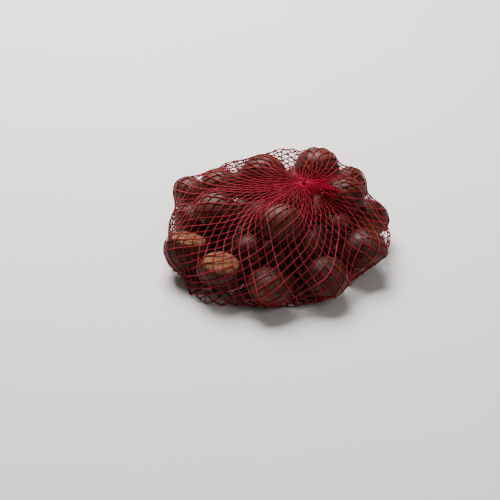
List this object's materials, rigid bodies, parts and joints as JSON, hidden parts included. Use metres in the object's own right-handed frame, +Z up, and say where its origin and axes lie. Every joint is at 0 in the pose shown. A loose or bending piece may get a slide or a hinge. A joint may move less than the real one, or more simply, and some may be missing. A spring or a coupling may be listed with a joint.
{
  "type": "net bag of chestnuts",
  "caption": "Low rounded net bag drawn tight over two layers of whole chestnuts, gathered at the crown into a short tail, resting on a flat base.",
  "frame": {"origin": "on the floor, under the middle of the bag's box", "axes": "+X across the bag's widest side, towards the side where the net's tail lies; +Y towards the back; +Z up"},
  "size_m": [0.1586, 0.1574, 0.0605],
  "materials": {
    "net": "crimson knotted net of matt plastic yarn",
    "shell": "smooth dark brown nut shell with fine streaks and a soft gloss",
    "scar": "matt pale tan base scar of the nut"
  },
  "bodies": {
    "root": {"netted_chestnuts": "net"}
  },
  "joints": []
}
